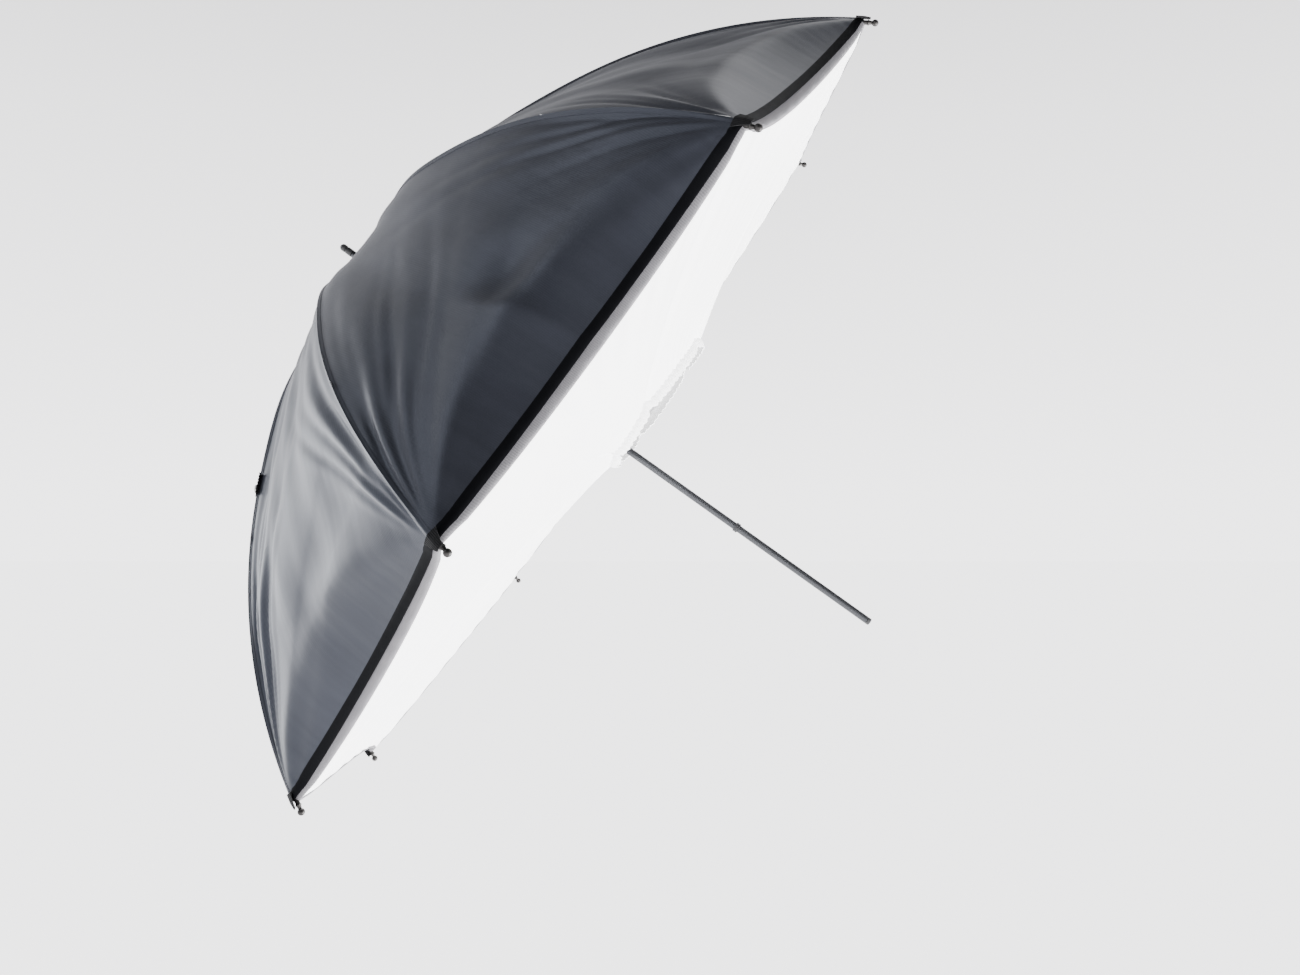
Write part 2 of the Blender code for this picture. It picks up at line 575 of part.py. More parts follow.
def runner():
    """The sliding runner: a sleeve with a slotted flange, and its thumb button."""
    nylon = make_material("runner_nylon", (0.02, 0.02, 0.022), 0.48)
    grey = make_material("button_grey", (0.32, 0.33, 0.34), 0.4)
    height = PIVOT[1]
    top = RUNNER_FLANGE_ABOVE
    flange_low = top - RUNNER_FLANGE_HEIGHT
    low = top - RUNNER_LENGTH
    body = turned_mesh("runner_body", [
        (RUNNER_FLANGE_RADIUS, top), (RUNNER_FLANGE_RADIUS, flange_low),
        (RUNNER_SLEEVE_RADIUS, flange_low - RUNNER_NECK), (RUNNER_SLEEVE_RADIUS, low + RUNNER_BEVEL),
        (RUNNER_SLEEVE_RADIUS - RUNNER_BEVEL, low), (SLIDING_RADIUS, low), (SLIDING_RADIUS, top)])
    width = max(EYE_THICKNESS + 2 * SLOT_CLEARANCE, 2 * STRETCHER_RADIUS)
    slots = radial_slots("runner", RUNNER_HUB_RADIUS, RUNNER_FLANGE_RADIUS + CUT_OVERRUN,
                         flange_low - RUNNER_NECK - CUT_OVERRUN, top + CUT_OVERRUN, width)
    button_top = flange_low - BUTTON_BELOW_FLANGE
    button_low = button_top - BUTTON_LENGTH
    floor = SLIDING_RADIUS + POCKET_WALL
    half = BUTTON_WIDTH / 2
    pocket = box_mesh("button_pocket", (floor, -half - CLEARANCE, button_low - CLEARANCE),
                      (RUNNER_SLEEVE_RADIUS + CUT_OVERRUN, half + CLEARANCE, button_top + CLEARANCE))
    pocket.transform(Matrix.Rotation(HALF_SECTOR, 4, "Z"))
    holder = empty("runner_slide", (0, 0, height))
    place("runner", combined_mesh("runner", body, cuts=slots + [pocket]), nylon, holder)
    inner = floor + BUTTON_TRAVEL + CLEARANCE
    key = box_mesh("runner_button", (0, -half, button_low),
                   (RUNNER_SLEEVE_RADIUS + BUTTON_PROUD - inner, half, button_top))
    seat = Vector((cos(HALF_SECTOR), sin(HALF_SECTOR), 0)) * inner
    slide = empty("button_slide", seat, HALF_SECTOR, holder)
    button = place("runner_button", key, grey, slide)
    edge = button.modifiers.new("edges", "BEVEL")
    edge.width = BUTTON_BEVEL
    edge.segments = 2
    edge.limit_method = "ANGLE"


def shaft_stops():
    """Collars pressed on the shaft that end the runner's travel, open and closed."""
    steel = make_material("stop_steel", (0.5, 0.5, 0.51), 0.35, 1.0)
    top = PIVOT[1] + RUNNER_FLANGE_ABOVE + STOP_CLEARANCE
    bottom = PIVOT[1] + RUNNER_FLANGE_ABOVE - RUNNER_LENGTH - RUNNER_TRAVEL - STOP_CLEARANCE
    for name, low in (("upper_stop", top), ("lower_stop", bottom - STOP_HEIGHT)):
        high = low + STOP_HEIGHT
        edge = STOP_RADIUS - STOP_BEVEL
        collar = [(edge, high), (STOP_RADIUS, high - STOP_BEVEL), (STOP_RADIUS, low + STOP_BEVEL),
                  (edge, low), (SLIDING_RADIUS, low), (SLIDING_RADIUS, high)]
        place(name, turned_mesh(name, collar), steel)


def closing_strap():
    """A short strap with a snap stud, sewn across a rib seam."""
    webbing = make_material("strap_black", (0.015, 0.015, 0.016), 0.7)
    nickel = make_material("stud_nickel", (0.5, 0.5, 0.51), 0.3, 1.0)
    angle = asin(STRAP_RADIUS_ON_CANOPY / CANOPY_RADIUS)
    r, z = on_canopy(angle)
    holder = empty("strap_seat", (0, 0, 0), (STRAP_RIB - 1) * SECTOR)
    seat = empty("strap_frame", (r, 0, z), 0, holder)
    seat.rotation_euler = (0, angle, 0)
    lift = FABRIC / 2 + STRAP_LENGTH ** 2 / (8 * CANOPY_RADIUS) + CLEARANCE
    strap = box_mesh("closing_strap", (-STRAP_LENGTH / 2, -STRAP_WIDTH / 2, lift),
                     (STRAP_LENGTH / 2, STRAP_WIDTH / 2, lift + STRAP_THICKNESS))
    place("closing_strap", strap, webbing, seat)
    low = lift + STRAP_THICKNESS + CLEARANCE
    stud = [(STUD_RADIUS * sin(t), low + STUD_HEIGHT * cos(t)) for t in np.linspace(0, pi / 2, 6)]
    stud[0] = (0, stud[0][1])
    mesh = turned_mesh("strap_stud", stud + [(0, low)], 20)
    mesh.transform(Matrix.Translation((STUD_OFFSET, 0, 0)))
    place("strap_stud", mesh, nickel, seat)


shaft_tube()
shaft_plugs()
shaft_stops()
crown_notch()
crown_cap()
frame_sectors()
runner()
canopy_and_diffuser()
closing_strap()
bpy.context.view_layer.update()
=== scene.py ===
import bmesh
import bpy
import numpy as np
from math import asin, atan2, cos, exp, pi, radians, sin
from mathutils import Matrix, Vector


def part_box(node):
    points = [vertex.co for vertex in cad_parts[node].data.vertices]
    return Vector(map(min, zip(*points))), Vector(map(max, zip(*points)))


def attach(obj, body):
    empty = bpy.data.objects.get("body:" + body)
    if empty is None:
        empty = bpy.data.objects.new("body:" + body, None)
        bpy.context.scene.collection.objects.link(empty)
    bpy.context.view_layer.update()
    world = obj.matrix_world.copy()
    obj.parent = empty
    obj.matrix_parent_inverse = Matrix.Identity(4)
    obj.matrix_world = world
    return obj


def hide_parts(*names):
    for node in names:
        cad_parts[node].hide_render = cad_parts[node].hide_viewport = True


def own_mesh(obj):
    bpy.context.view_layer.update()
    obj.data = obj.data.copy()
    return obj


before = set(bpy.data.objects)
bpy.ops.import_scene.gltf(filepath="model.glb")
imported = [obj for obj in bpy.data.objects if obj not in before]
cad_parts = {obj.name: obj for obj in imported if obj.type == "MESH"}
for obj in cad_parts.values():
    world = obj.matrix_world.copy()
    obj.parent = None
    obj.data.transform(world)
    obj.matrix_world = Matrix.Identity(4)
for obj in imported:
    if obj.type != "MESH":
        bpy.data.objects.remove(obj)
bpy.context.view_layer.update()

# places that everything hangs on, read from the frame
ribCount = sum(name.startswith("rib_tip_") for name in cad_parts)
sector = 2 * pi / ribCount
goreLow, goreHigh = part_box(f"canopy_{ribCount}")
tipRadius = goreHigh[0]
standInTrim = {"rim": 0.0002, "crown": 0.0004}  # from the stand-in's box to the middle of its cloth
rimHeight = goreLow[2] + standInTrim["rim"]
crownHeight = goreHigh[2] - standInTrim["crown"]
domeRadius = (tipRadius ** 2 + (crownHeight - rimHeight) ** 2) / (2 * (crownHeight - rimHeight))
domeCentre = crownHeight - domeRadius
rimAngle = asin(tipRadius / domeRadius)


# making meshes; edges bent by more than these angles are drawn sharp
sharpBend = {"cloth": radians(50), "hard": radians(32)}


def gridMesh(name, grid, uv=None, closedAcross=False):
    # a grid of points (rows, columns, 3) as quads; uv, if given, is one pair for each point
    rows, columns = grid.shape[:2]
    index = np.arange(rows * columns).reshape(rows, columns)
    if closedAcross:
        index = np.concatenate([index, index[:, :1]], 1)
    quads = np.stack([index[:-1, :-1], index[1:, :-1], index[1:, 1:], index[:-1, 1:]], 2).reshape(-1, 4)
    mesh = bpy.data.meshes.new(name)
    mesh.vertices.add(rows * columns)
    mesh.vertices.foreach_set("co", np.ascontiguousarray(grid, np.float32).ravel())
    mesh.loops.add(quads.size)
    mesh.loops.foreach_set("vertex_index", quads.ravel().astype(np.int32))
    mesh.polygons.add(len(quads))
    mesh.polygons.foreach_set("loop_start", np.arange(0, quads.size, 4, dtype=np.int32))
    if uv is not None:
        layer = mesh.uv_layers.new(name="cloth")
        layer.data.foreach_set("uv", uv.reshape(-1, 2)[quads.ravel()].astype(np.float32).ravel())
    mesh.update(calc_edges=True)
    mesh.polygons.foreach_set("use_smooth", np.ones(len(quads), bool))
    return mesh


def addPiece(name, mesh, *finishes):
    piece = bpy.data.objects.new(name, mesh)
    bpy.context.scene.collection.objects.link(piece)
    for finish in finishes:
        mesh.materials.append(finish)
    return piece


def thicken(piece, thickness, offset=0.0, inside=0, rim=0):
    # a wall made solid at once, so that the mesh is final; inside and rim shift the material
    wall = piece.modifiers.new("wall", "SOLIDIFY")
    wall.thickness = thickness
    wall.offset = offset
    wall.use_even_offset = True
    wall.material_offset = inside
    wall.material_offset_rim = rim
    bpy.context.view_layer.update()
    graph = bpy.context.evaluated_depsgraph_get()
    piece.data = bpy.data.meshes.new_from_object(piece.evaluated_get(graph), depsgraph=graph)
    piece.modifiers.clear()
    piece.data.set_sharp_from_angle(angle=sharpBend["cloth"])
    return piece


def turned(name, profile, sides=48):
    # surface of revolution: each (radius, height) of the profile carried round the shaft's axis,
    # x = radius cos t, y = radius sin t; the profile starts and ends on the axis or closes on itself
    line = np.array(profile, float)
    t = np.linspace(0, 2 * pi, sides, endpoint=False)
    grid = np.stack([line[:, :1] * np.cos(t), line[:, :1] * np.sin(t),
                     np.repeat(line[:, 1:], sides, 1)], 2)
    return closeUp(gridMesh(name, grid[::-1], closedAcross=True))


def closeUp(mesh, near=0.00002):
    # points that meet become one, faces without area go, and the rest face outwards
    bm = bmesh.new()
    bm.from_mesh(mesh)
    bmesh.ops.remove_doubles(bm, verts=bm.verts, dist=near)
    bmesh.ops.dissolve_degenerate(bm, edges=bm.edges, dist=near / 4)
    bmesh.ops.recalc_face_normals(bm, faces=bm.faces)
    bm.to_mesh(mesh)
    bm.free()
    mesh.set_sharp_from_angle(angle=sharpBend["hard"])
    return mesh


def turnedTo(points, azimuth):
    # points turned about the shaft's axis
    c, s = cos(azimuth), sin(azimuth)
    x, y, z = points[..., 0], points[..., 1], points[..., 2]
    return np.stack([c * x - s * y, s * x + c * y, z], -1)


def swept(name, line, radius, sides):
    # a round bar along a line: a circle in the plane across each step, closed by two shrunk rings;
    # the circles start from a direction that no bar here runs along
    line = np.asarray(line, float)
    along = np.gradient(line, axis=0)
    along /= np.linalg.norm(along, axis=1)[:, None]
    up = np.array([0.31, 0.2, 0.93])
    side = np.cross(along, up)
    side /= np.linalg.norm(side, axis=1)[:, None]
    other = np.cross(side, along)
    t = np.linspace(0, 2 * pi, sides, endpoint=False)
    radius = np.broadcast_to(radius, len(line))[:, None, None]
    ring = np.cos(t)[None, :, None] * side[:, None] + np.sin(t)[None, :, None] * other[:, None]
    grid = line[:, None] + radius * ring
    ends = [np.repeat(line[:1, None], sides, 1), np.repeat(line[-1:, None], sides, 1)]
    return closeUp(gridMesh(name, np.concatenate([ends[0], grid, ends[1]]), closedAcross=True))


# shader maths
class Value:
    # a socket that can be added and multiplied, each time with a Math node
    def __init__(self, finish, socket):
        self.finish = finish
        self.socket = socket

    def maths(self, operation, other):
        return self.finish.node("ShaderNodeMath", {"operation": operation}, self, other)

    def __add__(self, other):
        return self.maths("ADD", other)

    __radd__ = __add__

    def __mul__(self, other):
        return self.maths("MULTIPLY", other)

    __rmul__ = __mul__


class NodeTree:
    # one shader's nodes, with a single way to add any of them
    def __init__(self, owner, shader):
        owner.use_nodes = True
        self.tree = owner.node_tree
        self.shader = self.tree.nodes[shader]

    def set(self, socket, value):
        target = self.shader.inputs[socket]
        if isinstance(value, Value):
            self.tree.links.new(value.socket, target)
        else:
            target.default_value = value

    def node(self, kind, settings=None, *values, out=0, **named):
        made = self.tree.nodes.new(kind)
        for key, value in (settings or {}).items():
            if key == "stops":
                self.fillRamp(made.color_ramp, value)
            else:
                setattr(made, key, value)
        pairs = list(enumerate(values)) + [(k.replace("_", " "), v) for k, v in named.items()]
        for key, value in pairs:
            if isinstance(value, Value):
                self.tree.links.new(value.socket, made.inputs[key])
            elif value is not None:
                made.inputs[key].default_value = value
        return Value(self, made.outputs[out])

    def fillRamp(self, ramp, stops):
        while len(ramp.elements) < len(stops):
            ramp.elements.new(0.5)
        for element, (at, color) in zip(ramp.elements, stops):
            element.position = at
            element.color = color

    def place(self, kind="Object"):
        return self.node("ShaderNodeTexCoord", None, out=kind)

    def dot(self, where, direction):
        return self.node("ShaderNodeVectorMath", {"operation": "DOT_PRODUCT"}, where, direction, out=1)

    def noise(self, where, scale, detail=3.0, rough=0.55, stretch=None):
        if stretch is not None:
            where = self.node("ShaderNodeMapping", None, where, Scale=stretch)
        return self.node("ShaderNodeTexNoise", None, Vector=where, Scale=scale, Detail=detail,
                         Roughness=rough)

    def wave(self, where, scale, direction):
        return self.node("ShaderNodeTexWave", {"bands_direction": direction}, Vector=where, Scale=scale)

    def between(self, factor, low, high):
        mix = self.node("ShaderNodeMix", {"data_type": "RGBA"}, out=2)
        inputs = mix.socket.node.inputs
        for socket, value in ((inputs[0], factor), (inputs[6], low), (inputs[7], high)):
            if isinstance(value, Value):
                self.tree.links.new(value.socket, socket)
            elif isinstance(value, tuple):
                socket.default_value = (*value, 1.0)
            else:
                socket.default_value = value
        return mix

    def ramp(self, value, *stops):
        return self.node("ShaderNodeValToRGB", {"stops": [(at, (v, v, v, 1)) for at, v in stops]}, value)

    def bump(self, height, distance, strength=1.0):
        self.set("Normal", self.node("ShaderNodeBump", None, Height=height, Distance=distance,
                                     Strength=strength))


class Finish(NodeTree):
    # a material on the Principled shader
    def __init__(self, name, roughness=0.5, metallic=0.0, **steady):
        self.material = bpy.data.materials.new(name)
        super().__init__(self.material, "Principled BSDF")
        self.set("Roughness", roughness)
        self.set("Metallic", metallic)
        for socket, value in steady.items():
            self.set(socket.replace("_", " "), value)


def clothWeave(finish, threads):
    # a plain weave on the cloth's own coordinates: warp and weft waves that cross
    where = finish.place("UV")
    return finish.wave(where, threads, "X") * 0.5 + finish.wave(where, threads, "Y") * 0.5


def blackNylon(name, tint, gloss, wrinkle=0.2):
    # tight black taffeta with a cool sheen, a faint cloudiness, crush marks and long thin
    # wrinkles that run from the crown to the rim
    nylon = Finish(name, Sheen_Weight=0.1 * gloss, Sheen_Roughness=0.4, Sheen_Tint=(0.75, 0.8, 0.92, 1),
                   Specular_IOR_Level=gloss, Specular_Tint=(0.74, 0.8, 1.0, 1))
    cloth = nylon.place("UV")
    cloud = nylon.noise(nylon.place(), 5.5, 4.0)
    streak = nylon.noise(cloth, 9.0, 3.0, 0.6, (6.0, 1.0, 1.0))
    mask = nylon.ramp(cloud * 0.6 + streak * 0.4, (0.32, 0.0), (0.72, 1.0))
    nylon.set("Base Color", nylon.between(mask, tint, tuple(1.75 * c + 0.002 for c in tint)))
    nylon.set("Roughness", 0.62 - 0.7 * gloss + 0.12 * cloud)
    lines = nylon.noise(cloth, 1.0, 1.5, 0.5, (52.0, 5.0, 1.0))
    crush = nylon.noise(cloth, 26.0, 5.0, 0.62)
    weave = clothWeave(nylon, 190.0)
    nylon.bump(lines * wrinkle + crush * (0.3 * wrinkle + 0.05) + weave * 0.02, 0.0042, 0.55)
    return nylon.material


def whiteNylon(name, color, paintedGlow, roughness=0.62):
    # white cloth with painted light: its own colour again as a glow, an emission that stands in for light
    # shining through it, softly uneven
    cloth = Finish(name, roughness, Sheen_Weight=0.2, Emission_Strength=paintedGlow)
    tone = cloth.noise(cloth.place(), 4.0, 3.0)
    shade = tuple(c * 0.93 for c in color)
    mixed = cloth.between(cloth.ramp(tone, (0.35, 0.0), (0.7, 1.0)), shade, color)
    cloth.set("Base Color", mixed)
    # the painted glow takes the cloth's own colour
    cloth.set("Emission Color", mixed)
    weave = clothWeave(cloth, 150.0)
    soft = cloth.noise(cloth.place("UV"), 12.0, 3.0)
    cloth.bump(weave * 0.15 + soft * 0.85, 0.0010, 0.3)
    return cloth.material


def ribbedTape(name, color, lighter, pitch, paintedGlow=0.0):
    # woven tape with ribs across it, and, where asked, a painted glow in its lighter colour: emission on a
    # tape that is no lamp
    tape = Finish(name, 0.8, Sheen_Weight=0.02, Specular_IOR_Level=0.15, Emission_Strength=paintedGlow,
                  Emission_Color=(*lighter, 1))
    where = tape.place("UV")
    ribs = tape.wave(where, pitch, "X")
    fuzz = tape.noise(where, 60.0, 4.0)
    tape.set("Base Color", tape.between(ribs * 0.5 + fuzz * 0.5, color, lighter))
    tape.bump(ribs * 0.7 + fuzz * 0.3, 0.0006, 0.6)
    return tape.material


def rolledMetal(name, color, roughness, metallic=1.0):
    # drawn or plated metal: fine scratches along the shaft's axis and patches of wear
    steel = Finish(name, metallic=metallic)
    spot = steel.place()
    fine = steel.noise(spot, 90.0, 4.0, 0.6, (1.0, 1.0, 0.15))
    wear = steel.noise(spot, 22.0, 3.0)
    steel.set("Base Color", steel.between(wear, tuple(c * 0.82 for c in color), color))
    steel.set("Roughness", roughness + 0.16 * fine)
    steel.bump(fine, 0.00012, 0.35)
    return steel.material


def mouldedPlastic(name, color, roughness=0.42):
    # moulded plastic: a fine grain and a slow change of tone
    plastic = Finish(name)
    spot = plastic.place()
    grain = plastic.noise(spot, 900.0, 2.0)
    cloud = plastic.noise(spot, 45.0, 3.0)
    plastic.set("Base Color", plastic.between(cloud, tuple(c * 0.8 for c in color),
                                              tuple(c * 1.25 + 0.002 for c in color)))
    plastic.set("Roughness", roughness + 0.12 * cloud)
    plastic.bump(grain, 0.00025, 0.4)
    return plastic.material


finishes = {
    "shell": blackNylon("blackTaffeta", (0.0125, 0.0134, 0.0172), 0.28),
    # a lighter, bluer copy of the same black taffeta for the lower-side gores: painted light for how light
    # falls on them, with a little less gloss and more wrinkling
    "paintedLitShell": blackNylon("paintedLitTaffeta", (0.0145, 0.0158, 0.0208), 0.25, 0.25),
    "hem": blackNylon("hemTaffeta", (0.001, 0.001, 0.0012), 0.04, 0.1),
    # the last number of the lining, diffuser and elastic is a painted glow: emission that brightens cloth
    # that is no lamp
    "lining": whiteNylon("whiteLining", (0.82, 0.82, 0.83), 0.05),
    "diffuser": whiteNylon("diffuserNylon", (0.93, 0.93, 0.935), 0.9, 0.7),
    # the edge tape's dark grey is painted shade on the diffuser's white upright edge, which faces away from
    # the light
    "band": ribbedTape("edgeTapePaintedShade", (0.13, 0.125, 0.135), (0.2, 0.195, 0.205), 160.0),
    "elastic": ribbedTape("whiteElastic", (0.7, 0.7, 0.71), (0.86, 0.86, 0.86), 120.0, 1.2),
    "tape": ribbedTape("blackTape", (0.002, 0.002, 0.0023), (0.006, 0.006, 0.007), 220.0),
    "shaft": rolledMetal("darkShaft", (0.07, 0.072, 0.078), 0.3, metallic=0.85),
    "lacquer": rolledMetal("lacqueredRod", (0.045, 0.045, 0.048), 0.34, metallic=0.7),
    "nickel": rolledMetal("nickelPlate", (0.5, 0.49, 0.48), 0.24),
    "tip": rolledMetal("tipMetal", (0.05, 0.048, 0.047), 0.38),
    "plastic": mouldedPlastic("blackNylonPart", (0.018, 0.018, 0.02)),
    "button": mouldedPlastic("greyButton", (0.3, 0.31, 0.32), 0.38),
}
print("finishes:", len(finishes))


canopy = {
    "scallop": 0.014,        # how far the hem curves in between two corners
    "holeRadius": 0.0068,
    "hollow": 0.004,         # the cloth sinks this far between two ribs
    "softDepths": (0.0016, 0.0013, 0.0007),
    "slackGore": 5.6,        # the loosest cloth lies between these two gores
    "slackSpread": 1.3,
    "creasedGore": 7,        # one gore keeps a crease from storage
    "creaseAt": (-0.12, 0.885),
    "creaseHeight": 0.0066,
    "creaseShelf": 0.0056,
    "cornerPleats": 9,       # soft pleats fanned out from each corner
    "pleatDepth": 0.0016,
    "pleatReach": 0.085,
    "dartDepth": 0.0024,     # the few sharp folds that run into each corner
    "turnWidth": 0.062,      # at the rim the diffuser pulls the cloth over, beyond a crease
    "turnSlope": 0.40,
    "turnSoftness": 0.0045,
    "turnSwell": 0.0048,
    "seamDip": 0.0013,       # depth of the dip beside each seam, and how far from the seam it lies
    "seamDipAt": 0.005,
    "longFoldDepth": 0.0034,  # folds of the slack gores, from a corner far up beside the rib
    "longFolds": {-1: 6, 1: 4},
    "shoulder": 0.0065,      # round the crown the cloth stands out a little from the dome
    "shoulderAt": 0.27,
    "shoulderSpread": 0.13,
    "crownPleats": 5,
    "crownDepth": 0.0011,
    "shellLift": 0.00026,    # shell above the stand-in's middle surface, lining below it
    "liningDrop": 0.00016,
    "clothThickness": 0.00032,
}


def softFolds(gore, v, s):
    # slow folds of one gore, each gore its own: two crossing sines with drifting phase,
    # faded out at the ribs, the crown and the hem
    a, b, c = sin(2.3 * gore + 0.4), sin(4.1 * gore + 1.9), sin(1.7 * gore + 3.3)
    fade = (1 - v ** 2) * np.sin(pi * np.clip(s, 0, 1)) ** 0.8
    long = np.sin((5.5 + 1.2 * a) * v * (0.4 + s) + 2.2 * b + 2.6 * s)
    cross = np.sin((3.2 + 0.7 * c) * v + (5.0 + b) * s + 4.0 * a)
    fine = np.sin((15 + 3 * b) * v * (0.6 + 0.5 * s) + 3.5 * np.sin(3.1 * s + c) + a)
    first, second, third = canopy["softDepths"]
    return fade * (first * long + second * cross + third * fine)


def slack(gore):
    # the gores on the lower side hang looser than the rest
    return exp(-((gore - canopy["slackGore"]) / canopy["slackSpread"]) ** 2)


def fromCorner(side, v, s):
    # distance and angle round a corner, on the cloth laid flat; side -1 is the gore's first rib
    across = (1 - side * v) * s * tipRadius * sin(sector / 2)
    along = (1 - s) * domeRadius * rimAngle
    return np.sqrt(across ** 2 + along ** 2) + 1e-6, np.arctan2(across, along)


def cornerPleats(gore, v, s):
    # fan-shaped pleats: a sine in the angle round the corner, strongest a hand's breadth from it
    total = 0
    for side in (-1, 1):
        distance, turn = fromCorner(side, v, s)
        wobble = 0.55 * np.sin(2.0 * gore + 5.0 * turn) + 3.5 * distance
        wave = np.sin(canopy["cornerPleats"] * turn * (1 + 0.12 * sin(3.7 * gore + side)) + wobble)
        reach = canopy["pleatReach"] * (1 + 0.3 * sin(1.3 * gore + 2 * side) + 1.1 * slack(gore))
        rise = (distance / reach) * np.exp(1 - distance / reach)
        sharp = np.sign(wave) * np.abs(wave) ** 0.75
        depth = canopy["pleatDepth"] * (1 + 0.7 * slack(gore))
        total = total + depth * rise * sharp * np.sin(turn) * np.clip(np.cos(turn), 0, 1) ** 0.4
    return total * np.minimum(1, 6 * (1 - v ** 2))


def darts(gore, v, s):
    # sharp valleys into the corners: a narrow bell across the angle, and along it a rise
    # and a quick fall; the slack gores have more of them, long and close to the first rib
    total = 0
    loose = slack(gore)
    for side in (-1, 1):
        distance, turn = fromCorner(side, v, s)
        turn = turn + 0.045 * np.sin(distance * 21 + gore) * np.minimum(1, distance / 0.1)
        for fold in range(4):
            stray = 0.05 * sin(2.9 * gore + 1.7 * side + 2.2 * fold)
            middle = (0.11 + 0.15 * fold + stray) * (1 - 0.35 * loose)
            reach = 0.05 + 0.03 * sin(1.9 * gore + 2.7 * fold + side) ** 2 + 0.15 * loose * (side < 0)
            rise = (distance / reach) * np.exp(0.5 * (1 - (distance / reach) ** 2))
            width = 0.03 + 0.001 / distance
            bell = np.exp(-((turn - middle) / width) ** 2)
            ridge = np.exp(-((turn - middle - 1.7 * width) / (1.3 * width)) ** 2)
            depth = canopy["dartDepth"] * (1 - 0.2 * fold) * np.minimum(1, distance / 0.04)
            total = total - depth * rise * (bell - 0.5 * ridge)
    return total * np.minimum(1, (1 - v ** 2) * 9) * np.minimum(1, (1 - s) * 25)


def longFolds(gore, v, s):
    # the slack cloth's folds: narrow valleys with a soft bank on one side, which leave a corner
    # close beside the rib and run up the cloth in slightly wandering lines
    total = 0
    for side, count in canopy["longFolds"].items():
        distance, turn = fromCorner(side, v, s)
        for fold in range(count):
            own = sin(2.3 * gore + 1.9 * fold + side)
            middle = 0.06 + 0.078 * fold + 0.016 * own + 0.014 * np.sin(11 * distance + 2.1 * fold + gore)
            width = 0.02 + 0.0016 / (distance + 0.03)
            reach = 0.33 - 0.035 * fold + 0.05 * own
            along = np.minimum(1, distance / 0.12) * np.exp(-(distance / reach) ** 4)
            valley = np.exp(-((turn - middle) / width) ** 2)
            bank = np.exp(-((turn - middle - 2.0 * width) / (1.7 * width)) ** 2)
            total = total - along * (1 - 0.1 * fold) * (valley - 0.55 * bank)
    return canopy["longFoldDepth"] * slack(gore) * total * np.minimum(1, (1 - v ** 2) * 9)


def storageCrease(gore, v, s):
    # where the cloth was folded away: a sharp-edged ridge, an exponential of the distance to its
    # line, and a shelf beyond it, both faded along their length
    if gore != canopy["creasedGore"]:
        return 0 * v
    atV, atS = canopy["creaseAt"]
    a = (v - atV) - 0.9 * (s - atS)
    b = (s - atS) + 0.12 * a
    kink = np.exp(-np.abs(a) / 0.13) * np.exp(-(b / 0.085) ** 2)
    shelf = np.exp(-((a - 0.22) / 0.2) ** 2) * np.exp(-((b + 0.02) / 0.05) ** 2)
    return canopy["creaseHeight"] * kink - canopy["creaseShelf"] * shelf


def besideSeam(v, s):
    # the cloth dips next to each rib's seam, deepest two thirds of the way to the corner
    offset = (1 - np.abs(v)) * domeRadius * np.sin(s * rimAngle) * sin(sector / 2)
    share = offset / canopy["seamDipAt"]
    valley = share * np.exp(1 - share)
    return -canopy["seamDip"] * valley * np.clip(np.sin(pi * s ** 1.6), 0, 1)


def rimTurn(v, s):
    # a soft crease arched from corner to corner: a low swell along it, and beyond it the cloth
    # falls away with a constant slope (a smooth ramp, the log of one plus an exponential)
    inside = np.clip(1 - v ** 2, 0, 1)
    beyond = (s - 1) * domeRadius * rimAngle + canopy["turnWidth"] * inside ** 0.8
    soft = canopy["turnSoftness"]
    ramp = soft * np.log1p(np.exp(np.clip(beyond / soft, -30, 30)))
    swell = canopy["turnSwell"] * inside * np.exp(-(beyond / 0.03) ** 2)
    return swell - canopy["turnSlope"] * ramp * np.minimum(1, inside * 5)


def canopyPoints(gore, v, s, lift=0.0):
    # Pulled straight from rib to rib: a point lies on the chord between two meridian circles,
    # x = R sin(a) cos(half sector), y = v R sin(a) sin(half sector), z = centre + R cos(a);
    # the folds push it out along the dome's normal.
    v, s = np.broadcast_arrays(np.asarray(v, float), np.asarray(s, float))
    half = sector / 2
    start = asin(canopy["holeRadius"] / cos(half) / domeRadius)
    hem = rimAngle - canopy["scallop"] / domeRadius * (1 - v ** 2)
    angle = start + s * (hem - start)
    ribRadius = domeRadius * np.sin(angle)
    inside = 1 - v ** 2
    hollow = -canopy["hollow"] * inside * np.sin(pi * np.clip(s, 0, 1)) ** 1.2
    at, spread = canopy["shoulderAt"], canopy["shoulderSpread"]
    shoulder = canopy["shoulder"] * (np.exp(-((s - at) / spread) ** 2) - exp(-(at / spread) ** 2))
    pleats = np.sin(canopy["crownPleats"] * pi * v) * np.exp(-((s - 0.14) / 0.1) ** 2)
    crown = canopy["crownDepth"] * inside * pleats
    push = (lift + hollow + shoulder + crown + softFolds(gore, v, s) + cornerPleats(gore, v, s)
            + darts(gore, v, s) + longFolds(gore, v, s) + storageCrease(gore, v, s)
            + besideSeam(v, s) + rimTurn(v, s))
    x = ribRadius * cos(half) + push * np.sin(angle)
    y = v * ribRadius * sin(half)
    z = domeCentre + domeRadius * np.cos(angle) + push * np.cos(angle)
    return turnedTo(np.stack([x, y, z], -1), (gore - 0.5) * sector)


def outward(gore, v, s):
    # the way the folds push the cloth, as an arrow of length one at each point
    step = 0.001
    return (canopyPoints(gore, v, s, step) - canopyPoints(gore, v, s)) / step


def clothUv(v, s):
    # the gore laid flat, in metres: across it and down it
    v, s = np.broadcast_arrays(v, s)
    return np.stack([v * s * tipRadius * sin(sector / 2), s * domeRadius * rimAngle], -1)


